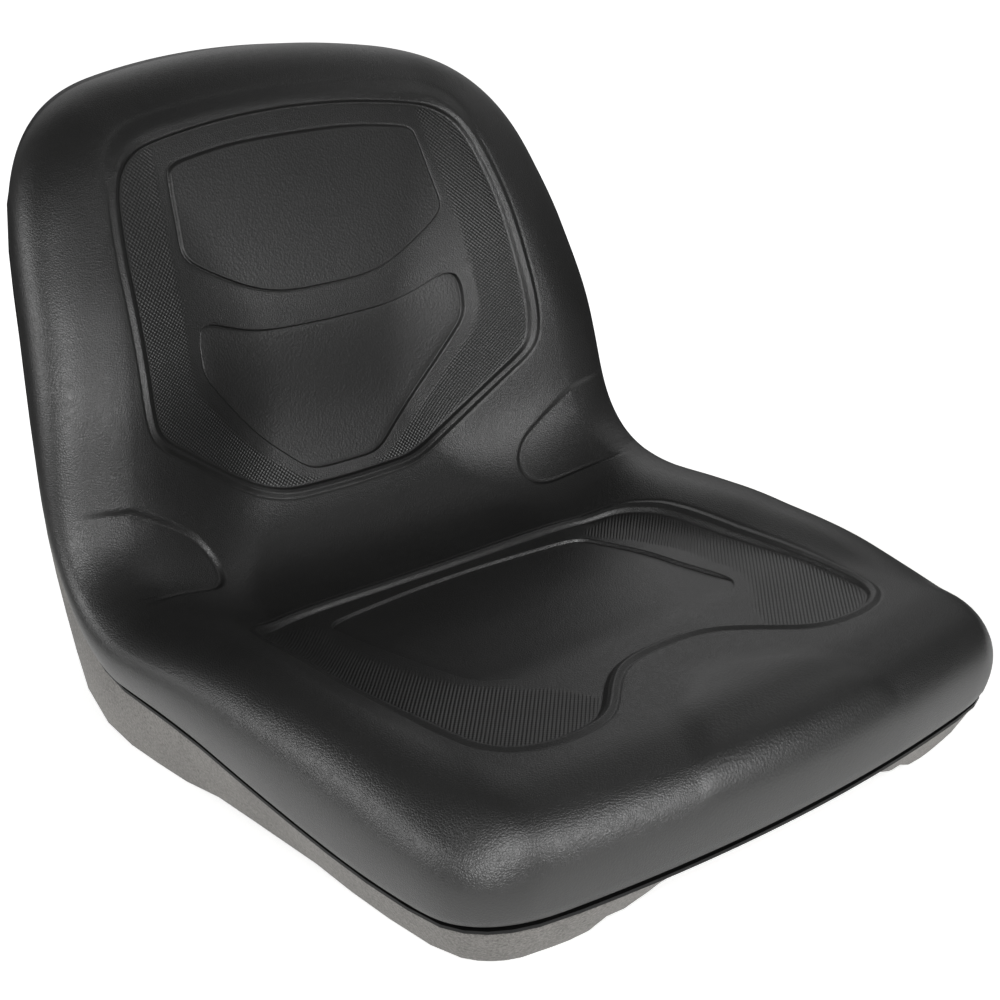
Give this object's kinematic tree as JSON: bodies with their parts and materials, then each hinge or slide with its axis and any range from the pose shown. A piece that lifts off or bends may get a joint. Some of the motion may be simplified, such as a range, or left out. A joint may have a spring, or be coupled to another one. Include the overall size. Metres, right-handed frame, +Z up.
{
  "type": "tractor seat",
  "caption": "High-back tractor seat: moulded black foam cushion with panelled seat and back on a bent steel carrier and grey ribbed pan.",
  "frame": {"origin": "centre of the underside fastening pattern, on the plane the seat is bolted down to", "axes": "+Z up, -Y towards the front edge, the way the sitter faces, X across with X = 0 the plane of symmetry"},
  "size_m": [0.5158, 0.6155, 0.4287],
  "materials": {
    "skin": "satin, fine leather grain",
    "steel": "black paint",
    "pan": "coarse grain",
    "insert": "turned",
    "zinc": "zinc plated"
  },
  "bodies": {
    "root": {"cushion": "skin", "carrier": "steel", "pan": "pan", "threaded_inserts": "insert", "pan_screws": "zinc"}
  },
  "joints": []
}
